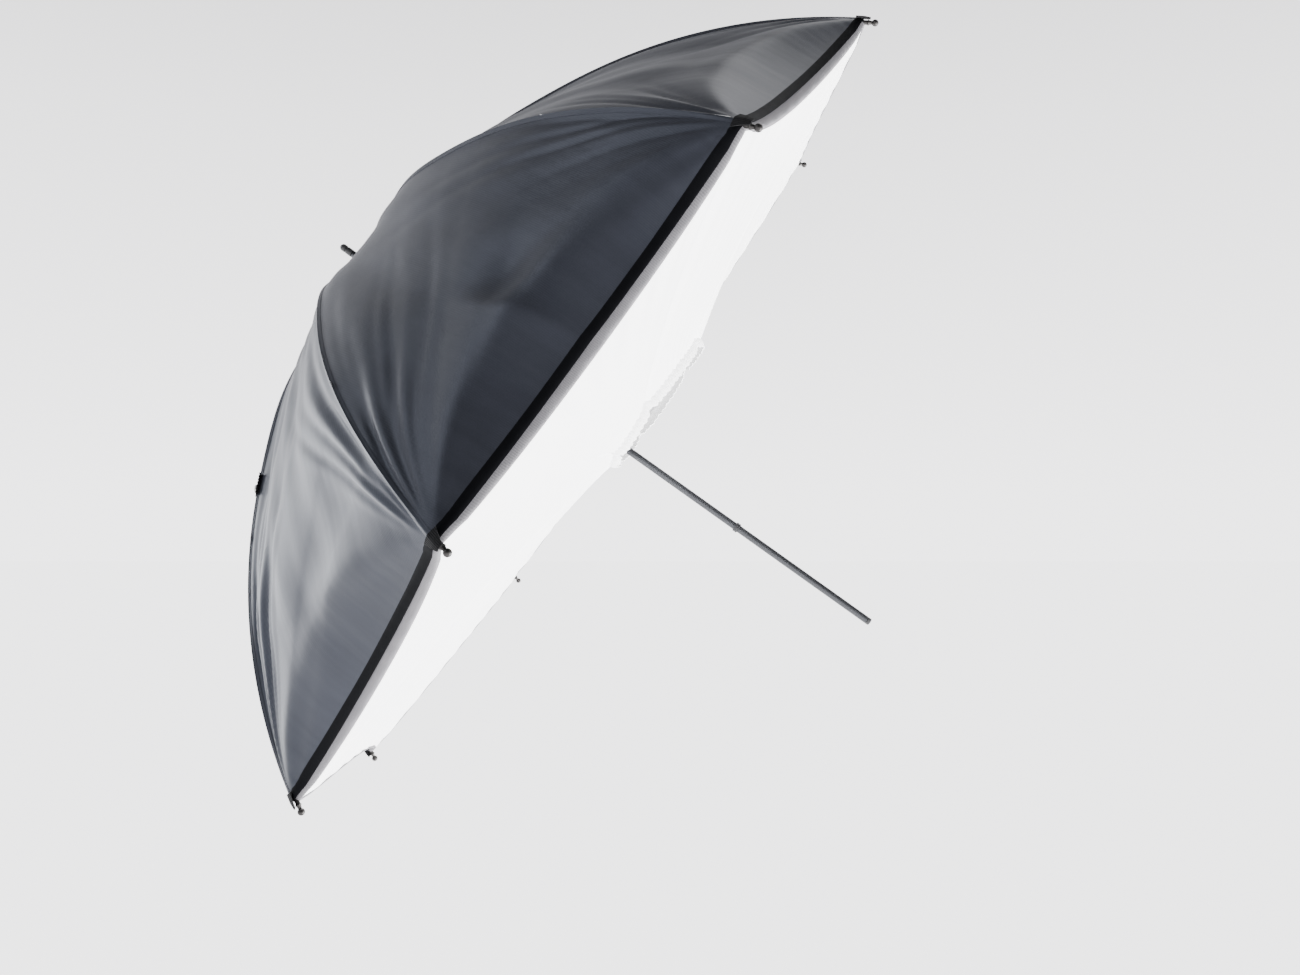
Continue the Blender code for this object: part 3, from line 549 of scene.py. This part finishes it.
# folded, the ribs lie closer together towards their tips, so each third of a gore keeps its own
# share of its width; the shares of shell and lining add up to a little more than the gap left
fold = {
    "thirds": {"Crown": (0.0, 0.36, 0.52), "Middle": (0.36, 0.66, 0.36), "Rim": (0.66, 1.0, 0.24)},
    "hemKeep": 0.24,
    "diffuserKeep": 0.1,
}


def foldGore(piece, number):
    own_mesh(piece)
    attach(piece, f"gore_{number}")


def foldRib(piece, body):
    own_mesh(piece)
    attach(piece, body)


def rows(start, end):
    # places down a gore, about every 5 mm
    return np.linspace(start, end, int(4 + 118 * (end - start)))[:, None]


def columns(start, end, count):
    # places across a gore, closer together towards its ribs, where the folds are narrow
    return np.sin(np.linspace(start, end, count) * pi / 2)[None]


def goreShell(number, third):
    start, end, keep = fold["thirds"][third]
    v, s = columns(-1, 1, 113), rows(start, end)
    grid = canopyPoints(number, v * 0.999, s, canopy["shellLift"])
    mesh = gridMesh(f"canopyShell{third}_{number}", grid, clothUv(v, s))
    # the lower-side gores take the lighter copy of the taffeta, painted light
    finish = finishes["paintedLitShell" if slack(number) > 0.5 else "shell"]
    piece = thicken(addPiece(mesh.name, mesh, finish), canopy["clothThickness"])
    foldGore(piece, number)
    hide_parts(f"canopy_{number}")
    return piece


hem = {
    "length": 0.0085,
    "beyondRim": 0.0012,     # it stands this far past the cloth's edge
    "halfThickness": 0.0011,
    "reach": 0.985,          # share of the way to the corners
    "halfWidth": 0.19,
}


def goreHem(number):
    # the hem: a flat loop of cloth round the rim's edge, its section a long thin oval
    v = np.linspace(-hem["reach"], hem["reach"], 61)[:, None]
    t = np.linspace(0, 2 * pi, 15)[:-1][None]
    s = 1 - (hem["length"] / 2 * (1 + np.cos(t)) - hem["beyondRim"]) / (domeRadius * rimAngle)
    grid = canopyPoints(number, v, s) + outward(number, v, s) * (hem["halfThickness"] * np.sin(t))[..., None]
    uv = np.stack(np.broadcast_arrays(v * hem["halfWidth"], t * 0.002), -1)
    ends = grid.mean(1, keepdims=True)
    grid = np.concatenate([np.repeat(ends[:1], t.size, 1), grid, np.repeat(ends[-1:], t.size, 1)])
    uv = np.concatenate([uv[:1], uv, uv[-1:]])
    mesh = closeUp(gridMesh(f"canopyHem_{number}", grid, uv, closedAcross=True))
    piece = addPiece(mesh.name, mesh, finishes["hem"])
    foldGore(piece, number)
    return piece


def ribLining(number, third):
    # the white inside, from the middle of one gore over the rib to the middle of the next
    start, end, keep = fold["thirds"][third]
    s = rows(max(start, 0.012), min(end, 0.992))[::2]
    s[-1] = min(end, 0.992)
    before, after = (number - 2) % ribCount + 1, number
    left = canopyPoints(before, columns(0, 1, 57), s, -canopy["liningDrop"])
    right = canopyPoints(after, columns(-1, 0, 57), s, -canopy["liningDrop"])
    grid = np.concatenate([left, right[:, 1:]], 1)
    v = np.linspace(-1, 1, grid.shape[1])[None]
    mesh = gridMesh(f"canopyLining{third}_{number}", grid, clothUv(v, s))
    piece = thicken(addPiece(mesh.name, mesh, finishes["shell"], finishes["lining"]),
                    canopy["clothThickness"] * 0.6, inside=1)
    foldRib(piece, f"rib_{number}")
    return piece


seam = {
    "halfWidth": 0.0034,
    "lift": 0.00042,
    "swell": 0.00034,        # it is this much higher along its middle
    "stitchHeight": 0.00007,
    "stitching": 900,        # radians of the stitches' wave from crown to rim
    "thickness": 0.0003,
}


def ribSeam(number):
    # the felled seam over each rib: a low band across the ridge, with its stitches in relief;
    # its height is a parabola across it plus a sine along its two rows of stitches
    s = np.linspace(0.02, 0.988, 150)[:, None]
    across = np.linspace(-1, 1, 9)[None]
    before = (number - 2) % ribCount + 1
    halfGore = np.maximum(domeRadius * np.sin(s * rimAngle), 0.012) * sin(sector / 2)
    offset = np.abs(across) * np.minimum(seam["halfWidth"] / halfGore, 0.45)
    stitches = np.sin(s * seam["stitching"]) * (np.abs(across) > 0.4)
    lift = seam["lift"] + seam["swell"] * (1 - across ** 2) + seam["stitchHeight"] * stitches
    left = canopyPoints(before, 1 - offset, s) + outward(before, 1 - offset, s) * lift[..., None]
    right = canopyPoints(number, offset - 1, s) + outward(number, offset - 1, s) * lift[..., None]
    grid = np.where((across < 0)[..., None], left, right)
    uv = np.stack(np.broadcast_arrays(across * seam["halfWidth"], s * 0.6), -1)
    mesh = gridMesh(f"ribSeam_{number}", grid, uv)
    piece = thicken(addPiece(mesh.name, mesh, finishes["shell"]), seam["thickness"], offset=1.0)
    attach(piece, f"rib_{number}")


def cutOf(start, end):
    # flat size and area of one third of a gore, from its length along the dome and its chord
    chord = 2 * domeRadius * sin(end * rimAngle) * sin(sector / 2)
    area = 2 * domeRadius ** 2 * sin(sector / 2) * (cos(start * rimAngle) - cos(end * rimAngle))
    return (chord, domeRadius * rimAngle * (end - start)), area


for number in range(1, ribCount + 1):
    edging = goreHem(number)
    ribSeam(number)
    for third, (start, end, keep) in fold["thirds"].items():
        flat, area = cutOf(start, end)
        shell, lining = goreShell(number, third), ribLining(number, third)
        area * 0.98
print("canopy:", ribCount, "gores with hem, seam and lining")


diffuser = {
    "openingRadius": 0.085,
    "openingOffset": 0.060,
    "openingAzimuth": radians(15.6),
    "bulge": 0.036,          # towards the handle, from the edge tape to the opening
    "edgeDrop": 0.0085,      # height of the edge tape, halfway between two corners
    "cornerDrop": 0.0035,
    "edgeInset": 0.0035,
    "collar": 0.009,         # the elasticated mouth stands out this far
    "ruffles": 70,
    "thickness": 0.0004,
    "pullDepth": 0.0072,     # pull lines that fan out from the corners
    "slackDepth": 0.0035,
    "gatherDepth": 0.0006,   # gathers of the elastic at the mouth
}
openingCentre = diffuser["openingOffset"] * np.array(
    [cos(diffuser["openingAzimuth"]), sin(diffuser["openingAzimuth"])])


def rimLine(azimuth):
    # the inner side of the canopy's hem by azimuth: radius and height on the same chord as the cloth
    turn = (azimuth + sector / 2) % sector - sector / 2
    v = np.tan(sector / 2 - np.abs(turn)) / np.tan(sector / 2)
    angle = rimAngle - canopy["scallop"] / domeRadius * (1 - v ** 2)
    push = rimTurn(v, np.ones_like(v))
    flat = domeRadius * np.sin(angle) * cos(sector / 2) + push * np.sin(angle)
    height = domeCentre + domeRadius * np.cos(angle) + push * np.cos(angle)
    return flat / np.cos(sector / 2 - np.abs(turn)), height, 1 - v ** 2


def edgeDrop(middle):
    # how far below the hem the cloth starts: a square root from corner to middle
    return diffuser["cornerDrop"] + (diffuser["edgeDrop"] - diffuser["cornerDrop"]) * middle ** 0.5


def openingRadiusAt(azimuth):
    # distance from the shaft to the off-centre circle of the opening
    off = azimuth - diffuser["openingAzimuth"]
    return (diffuser["openingOffset"] * np.cos(off)
            + np.sqrt(diffuser["openingRadius"] ** 2 - (diffuser["openingOffset"] * np.sin(off)) ** 2))


def openingTurn(azimuth, radius):
    # azimuth of the same point about the opening's own centre
    x, y = openingCentre
    return np.arctan2(radius * np.sin(azimuth) - y, radius * np.cos(azimuth) - x)


def ruffle(azimuth, radius, near):
    # gathers of the elastic: an uneven sine round the opening's own centre, dying away outwards
    turn = openingTurn(azimuth, radius)
    count = diffuser["ruffles"]
    wave = np.sin(count * turn + 1.3 * np.sin(5 * turn)) + 0.5 * np.sin(26 * turn + 2)
    return wave * near


def diffuserPoints(azimuth, share):
    # a ruled sheet from the edge tape (share 0) to the opening (share 1); its height falls towards
    # the shaft as a power of the share, with pull lines from the corners and gathers at the mouth
    azimuth, share = np.broadcast_arrays(azimuth, share)
    outer, rim, middle = rimLine(azimuth)
    outer = outer - diffuser["edgeInset"] - 0.002
    inner = openingRadiusAt(azimuth)
    radius = outer + share * (inner - outer)
    low = rim - edgeDrop(middle)
    turn = (azimuth + sector / 2) % sector - sector / 2
    fan = np.cos(8 * turn / sector * 2 * pi) * np.exp(-share * 5) * np.sqrt(share + 0.001)
    wave = middle * np.sin(pi * np.clip(share, 0, 1)) ** 1.5 * np.sin(3 * azimuth + 0.7)
    gather = ruffle(azimuth, radius, np.exp((share - 1) * 11))
    height = (low - diffuser["bulge"] * share ** 1.9 + diffuser["pullDepth"] * fan * (1 - share)
              + diffuser["slackDepth"] * wave + diffuser["gatherDepth"] * gather)
    return np.stack([radius * np.cos(azimuth), radius * np.sin(azimuth), height], -1)


def spanOf(number, count):
    # azimuths of one rib's share of the diffuser
    middle = (number - 1) * sector
    return middle + np.linspace(-0.5, 0.5, count) * sector


def foldShare(piece, number):
    foldRib(piece, f"diffuser_{number}")


def diffuserCloth(number):
    azimuth = spanOf(number, 81)[None]
    share = np.linspace(0, 1, 64)[:, None]
    grid = diffuserPoints(azimuth, share)
    mesh = gridMesh(f"diffuserCloth_{number}", grid, grid[..., :2])
    piece = thicken(addPiece(mesh.name, mesh, finishes["diffuser"]), diffuser["thickness"])
    foldShare(piece, number)
    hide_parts(f"diffuser_{number}")
    return piece


tape = {
    "above": 0.0045,         # it starts this high behind the hem
    "below": 0.0004,
    "gap": 0.0016,
    "lip": 0.0022,           # its last row turns in under the cloth
    "ripple": 0.0005,
    "thickness": 0.0006,
}


def edgeTape(number):
    # upright tape between the canopy's hem and the diffuser, a section carried round the rim, its dark grey
    # painted shade on this white edge:
    # it hangs as a quarter sine, moves in with the cube of its length and turns in at the bottom
    azimuth = spanOf(number, 81)[None]
    outer, rim, middle = rimLine(azimuth)
    t = np.linspace(0, 1, 13)[:, None]
    drop = edgeDrop(middle) + tape["below"] + tape["above"]
    ripple = tape["ripple"] * np.sin(azimuth * 90 + 2 * np.sin(azimuth * 7)) * np.sin(pi * t)
    radius = (outer - tape["gap"] - diffuser["edgeInset"] * (0.1 + 0.9 * t ** 3) - tape["lip"] * (t > 0.95)
              + ripple)
    height = rim + tape["above"] - drop * np.sin(t * pi / 2)
    grid = np.stack(np.broadcast_arrays(radius * np.cos(azimuth), radius * np.sin(azimuth), height), -1)
    uv = np.stack(np.broadcast_arrays(azimuth * tipRadius, t * 0.012), -1)
    mesh = gridMesh(f"edgeTape_{number}", grid, uv)
    piece = thicken(addPiece(mesh.name, mesh, finishes["band"]), tape["thickness"])
    foldShare(piece, number)
    return piece


collar = {
    "ruffleDepth": 0.0007,
    "swell": 0.0012,         # it bellies out between cloth and edge
    "drawIn": 0.004,         # the elastic pulls its edge in by this
    "thickness": 0.0011,
}


def openingCollar(number):
    # the mouth: a short gathered tube that stands out towards the handle; each point of the cloth's
    # edge moves out and in by a sine of its turn, and down in step with t
    azimuth = spanOf(number, 101)[None]
    t = np.linspace(0, 1, 15)[:, None]
    edge = diffuserPoints(azimuth, np.ones((1, 1)))
    turn = openingTurn(azimuth, openingRadiusAt(azimuth))
    wave = np.sin(diffuser["ruffles"] * turn + 1.3 * np.sin(5 * turn))
    out = (collar["ruffleDepth"] * wave * (1 - 0.4 * t) + collar["swell"] * np.sin(pi * t)
           - collar["drawIn"] * t)
    x = edge[..., 0] + out * np.cos(turn)
    y = edge[..., 1] + out * np.sin(turn)
    z = edge[..., 2] - diffuser["collar"] * t
    grid = np.stack(np.broadcast_arrays(x, y, z), -1)
    uv = np.stack(np.broadcast_arrays(turn * diffuser["openingRadius"], t * 0.016), -1)
    mesh = gridMesh(f"openingCollar_{number}", grid, uv)
    piece = thicken(addPiece(mesh.name, mesh, finishes["elastic"]), collar["thickness"])
    foldShare(piece, number)
    return piece


for number in range(1, ribCount + 1):
    cloth, band, mouth = diffuserCloth(number), edgeTape(number), openingCollar(number)
    reach = tipRadius - float(openingRadiusAt((number - 1) * sector))
    innerWidth = float(np.linalg.norm(np.diff(diffuserPoints(spanOf(number, 2), 1.0), axis=0)))
print("diffuser:", ribCount, "shares with edge tape and collar")


tip = {
    "length": 0.0205,        # from its mouth to the middle of the ball
    "lean": 0.012,           # the rib's end runs this much flatter than the dome's edge
    "sleeve": [(0, 0.00195), (0.0002, 0.0022), (0.004, 0.0022), (0.0128, 0.0022),
               (0.0136, 0.0028), (0.0142, 0.0028), (0.0152, 0.0021)],
}


def tipCap(number):
    # metal cap with a ball end: radii of a sleeve, a ridge and a ball, along the rib's last stretch
    low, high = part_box("rib_tip_1")
    size = high[1]
    ball = np.array([high[0] - size, 0, low[2] + size])
    angle = rimAngle - tip["lean"]
    along = np.array([cos(angle), 0, -sin(angle)])
    turn = np.linspace(radians(150), 0, 18)
    sleeve = np.array(tip["sleeve"])
    t = np.concatenate([sleeve[:, 0], tip["length"] + size * np.cos(turn)])
    r = np.concatenate([sleeve[:, 1], size * np.sin(turn)])
    order = np.argsort(t, kind="stable")
    t, r = t[order], np.maximum(r[order], 0.00002)
    line = ball + along * (t[:, None] - tip["length"])
    mesh = swept(f"tipCap_{number}", turnedTo(line, (number - 1) * sector), r, 24)
    piece = addPiece(mesh.name, mesh, finishes["tip"])
    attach(piece, f"rib_{number}")
    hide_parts(f"rib_tip_{number}")


tab = {
    "start": 0.008,          # its wide end lies this far short of the corner
    "length": 0.0145,
    "halfWidth": 0.0048,     # of the wide end, over that of the point
    "halfPoint": 0.003,
    "lift": 0.0012,
    "thickness": 0.0009,
}


def cornerTab(number):
    # black three-cornered pocket that ties the cloth to the tip: a rounded triangle wrapped over
    # the ridge, falling away on both sides with the slope between two gores
    t = np.linspace(0, 1, 22)[:, None]
    u = np.linspace(-1, 1, 17)[None]
    side = u * (tab["halfWidth"] * (1 - t) ** 0.8 + tab["halfPoint"])
    angle = rimAngle + (t * tab["length"] - tab["start"]) / domeRadius
    ridge = -np.abs(side) * np.tan(sector / 2) * 0.86 * (1 - 0.6 * t)
    lift = tab["lift"] + 0.0005 * (1 - u ** 2) - 0.002 * np.maximum(t - 0.6, 0)
    radius = domeRadius + lift + ridge * np.sin(angle)
    x, y, z = radius * np.sin(angle), side, domeCentre + radius * np.cos(angle)
    grid = turnedTo(np.stack(np.broadcast_arrays(x, y, z), -1), (number - 1) * sector)
    uv = np.stack(np.broadcast_arrays(side, t * 0.03), -1)
    mesh = gridMesh(f"cornerTab_{number}", grid, uv)
    piece = thicken(addPiece(mesh.name, mesh, finishes["tape"]), tab["thickness"], offset=1.0)
    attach(piece, f"rib_{number}")


turnery = {
    "edge": 0.0003,          # rounding of the shaft's rims
    "wall": 0.0008,          # of the shaft's tube
    "gap": 0.0003,           # between pieces that fit
    "capRim": 0.0012,
    "ringEdge": 0.0004,
    "groove": 0.0003,
}


def lathePiece(name, node, profile, finish):
    piece = addPiece(name, turned(name, profile, 56), finishes[finish])
    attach(piece, "frame")
    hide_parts(node)


def shaftPieces():
    edge, gap = turnery["edge"], turnery["gap"]
    low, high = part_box("shaft_tube")
    r, bottom, top = high[0], low[2], high[2]
    bore = r - turnery["wall"]
    lathePiece("shaftRod", "shaft_tube", [
        (r - edge, top), (r, top - edge), (r, bottom + edge), (r - edge, bottom),
        (bore, bottom), (bore, top), (r - edge, top)], "shaft")
    flange = bottom - gap
    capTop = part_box("shaft_end_cap")[1][2]
    lathePiece("endPlug", "shaft_end_cap", [
        (0, capTop), (bore - gap, capTop), (bore - gap, flange), (r - edge, flange), (r, flange - edge),
        (r, 0.0009), (r - 0.0003, 0.0003), (r - 0.0008, 0), (0, 0)], "plastic")
    low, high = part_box("ferrule_plug")
    seat = top + gap
    dome = [(r * cos(a), high[2] - r * (1 - sin(a))) for a in np.linspace(pi / 2, 0, 14)]
    lathePiece("ferruleTip", "ferrule_plug", [(0, high[2])] + dome[1:] + [
        (r, seat + 0.009), (r - 0.0004, seat + 0.0086), (r - 0.0004, seat + 0.0076), (r, seat + 0.0072),
        (r, seat + edge), (r - edge, seat), (bore - gap, seat), (bore - gap, low[2]), (0, low[2])],
        "plastic")


def crownPieces():
    # the cap's profile is a quarter round, flattened a little, from its top to its rim
    low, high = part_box("crown_cap")
    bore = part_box("shaft_tube")[1][0] + turnery["gap"]
    out, base, top = high[0], low[2], high[2]
    rim, ring, groove = turnery["capRim"], turnery["ringEdge"], turnery["groove"]
    t = np.linspace(0.12, pi / 2, 14)
    shoulder = [(bore + (out - bore) * sin(a), base + rim + (top - base - rim) * cos(a) ** 0.9) for a in t]
    lathePiece("crownDome", "crown_cap", [(bore, top), (bore + 0.001, top)] + shoulder + [
        (out, base + ring), (out - ring, base), (bore, base), (bore, top)], "plastic")
    rings = {"capCollar": ("crown_collar", "nickel"), "upperStopRing": ("upper_stop", "lacquer"),
             "lowerStopRing": ("lower_stop", "lacquer")}
    for name, (node, finish) in rings.items():
        low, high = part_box(node)
        r, base, top = high[0], low[2], high[2]
        middle = (base + top) / 2
        lathePiece(name, node, [
            (bore, top), (r - ring, top), (r - 0.0001, top - 0.0001), (r, top - ring),
            (r, middle + 0.0005), (r - groove, middle + 0.0002), (r - groove, middle - 0.0002),
            (r, middle - 0.0005), (r, base + ring), (r - 0.0001, base + 0.0001), (r - ring, base),
            (bore, base), (bore, top)], finish)


strap = {
    "ripple": 0.00035,
    "curl": 0.0003,
    "waist": 0.08,           # share that its long sides draw in
    "thickness": 0.8,        # share of the stand-in's
}


def strapPieces():
    # a short loop of tape laid along the rib: a ripple down its length, its long edges curled up;
    # its length, width and place are those of the stand-in, turned to lie over the +X axis
    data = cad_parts["closing_strap"].data
    points = np.empty(3 * len(data.vertices), np.float32)
    data.vertices.foreach_get("co", points)
    points = points.reshape(-1, 3).astype(float)
    middle = points.mean(0)
    azimuth = atan2(middle[1], middle[0])
    flat = turnedTo(points, -azimuth)
    centre = flat.mean(0)
    angle = atan2(centre[0], centre[2] - domeCentre)
    along = np.array([cos(angle), 0, -sin(angle)])
    up = np.array([sin(angle), 0, cos(angle)])
    side = np.array([0.0, 1.0, 0.0])
    length = np.ptp((flat - centre) @ along)
    width = np.ptp(flat[:, 1])
    thickness = np.ptp((flat - centre) @ up)
    a, b = np.broadcast_arrays(np.linspace(-0.5, 0.5, 33)[:, None], np.linspace(-0.5, 0.5, 13)[None])
    height = strap["ripple"] * np.cos(a * 40) - strap["curl"] * np.cos(b * 2 * pi)
    down = a * length * (1 - strap["waist"] * b ** 2)
    grid = centre + along * down[..., None] + side * (b * width)[..., None] + up * height[..., None]
    mesh = gridMesh("strapTape", turnedTo(grid, azimuth), np.stack([a * length, b * width], -1))
    piece = thicken(addPiece("strapTape", mesh, finishes["tape"]), thickness * strap["thickness"])
    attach(piece, "rib_6")
    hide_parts("closing_strap")


def finishCad(prefixes):
    # CAD nodes that stay as they are get a finish of their own
    for name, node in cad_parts.items():
        for start, finish in prefixes.items():
            if name.startswith(start):
                node.data.materials.clear()
                node.data.materials.append(finishes[finish])


for number in range(1, ribCount + 1):
    tipCap(number)
    cornerTab(number)
shaftPieces()
crownPieces()
strapPieces()
finishCad({"rib_": "lacquer", "stretcher_": "lacquer", "runner": "plastic", "runner_button": "button",
           "crown_notch": "plastic", "crown_wire": "nickel", "strap_stud": "nickel"})
print("tips, tabs and hardware done")


view = {
    "at": Vector((0.3496, -1.2813, 0.2669)),
    "right": Vector((0.5548, 0.1704, -0.8144)),
    "up": Vector((0.7844, 0.2192, 0.5802)),
    "lens": 33.36,
}
view["back"] = view["right"].cross(view["up"])

studio = {
    "middle": (0, 0, 0.36),
    "floorDrop": 2.9,        # from the middle of the umbrella, the room's own way down
    "floorReach": 45,
    "floorColor": (0.8, 0.8, 0.81),
    "floorGlow": 3.75,
    "wallGlow": 3.9,
    "wallColor": (0.985, 0.98, 1.0),
    "darkColor": (0.04, 0.042, 0.05),
}


def studioCamera():
    camera = bpy.data.cameras.new("camera")
    camera.sensor_width = 36
    camera.lens = view["lens"]
    camera.clip_end = 200
    holder = bpy.data.objects.new("camera", camera)
    turn = Matrix((view["right"], view["up"], view["back"])).transposed()
    holder.matrix_world = Matrix.Translation(view["at"]) @ turn.to_4x4()
    bpy.context.scene.collection.objects.link(holder)
    bpy.context.scene.camera = holder


def studioFloor():
    # a wide pale floor square to the room's own down, well below the object
    color = studio["floorColor"]
    pale = Finish("paleFloor", 0.95, Emission_Strength=studio["floorGlow"], Emission_Color=(*color, 1),
                  Specular_IOR_Level=0.1)
    tone = pale.noise(pale.place(), 0.4, 2.0)
    pale.set("Base Color", pale.between(tone, tuple(c * 0.985 for c in color), color))
    across, up, back = (np.array(view[way]) for way in ("right", "up", "back"))
    a = np.linspace(-1, 1, 3) * studio["floorReach"]
    grid = studio["middle"] - up * studio["floorDrop"] + across * a[None, :, None] + back * a[:, None, None]
    addPiece("studioFloor", gridMesh("studioFloor", grid), pale.material)


def paleRoom():
    # a pale room: bright ahead and to the left, dim behind the camera and overhead
    world = bpy.data.worlds.new("paleRoom")
    bpy.context.scene.world = world
    room = NodeTree(world, "Background")
    way = room.place("Generated")
    ahead = 0.5 + 0.5 * room.dot(way, -view["back"])
    front = room.ramp(ahead, (0.1, 0.09), (0.45, 0.2), (0.7, 0.55), (0.9, 1.0))
    high = room.ramp(0.5 + 0.5 * room.dot(way, view["up"]), (0.3, 1.0), (0.5, 0.93), (0.64, 0.66),
                     (0.8, 0.25), (1.0, 0.12))
    wall = room.between(front, studio["darkColor"], studio["wallColor"])
    room.set("Color", room.between(high, (0.0, 0.0, 0.0), wall))
    room.set("Strength", studio["wallGlow"])


def toRoom(right, up, back):
    # a place given by the camera's own directions, from the middle of the umbrella
    return Vector((0, 0, 0.42)) + view["right"] * right + view["up"] * up + view["back"] * back


coolWhite = (0.93, 0.96, 1.0)
plainWhite = (1, 1, 1)
lights = {  # where each stands, what it points at, its width and height, watts and colour
    "upperLeft": (toRoom(-2.2, 1.7, 1.0), (0, 0, 0.45), (1.6, 1.6), 40, coolWhite),
    "leftBack": (toRoom(-2.4, -0.2, -1.4), (0, 0, 0.45), (1.2, 2.2), 60, coolWhite),
    "topBack": (toRoom(1.2, 2.4, -1.2), (0, 0, 0.45), (1.6, 1.6), 20, plainWhite),
    "diffuserFront": (Vector((0, 0, -1.8)), (0, 0, 0.4), (1.6, 1.6), 210, plainWhite),
    "rightFront": (toRoom(2.6, -0.7, 1.1), (0, 0, 0.3), (2.4, 2.4), 60, plainWhite),
}


def softLight(name, at, aim, size, watts, color):
    light = bpy.data.lights.new(name, "AREA")
    light.shape = "RECTANGLE"
    light.size, light.size_y = size
    light.energy = watts
    light.color = color
    holder = bpy.data.objects.new(name, light)
    holder.location = at
    holder.rotation_euler = (Vector(aim) - at).to_track_quat("-Z", "Y").to_euler()
    bpy.context.scene.collection.objects.link(holder)


studioCamera()
studioFloor()
for name, settings in lights.items():
    softLight(name, *settings)
paleRoom()
print("studio done")
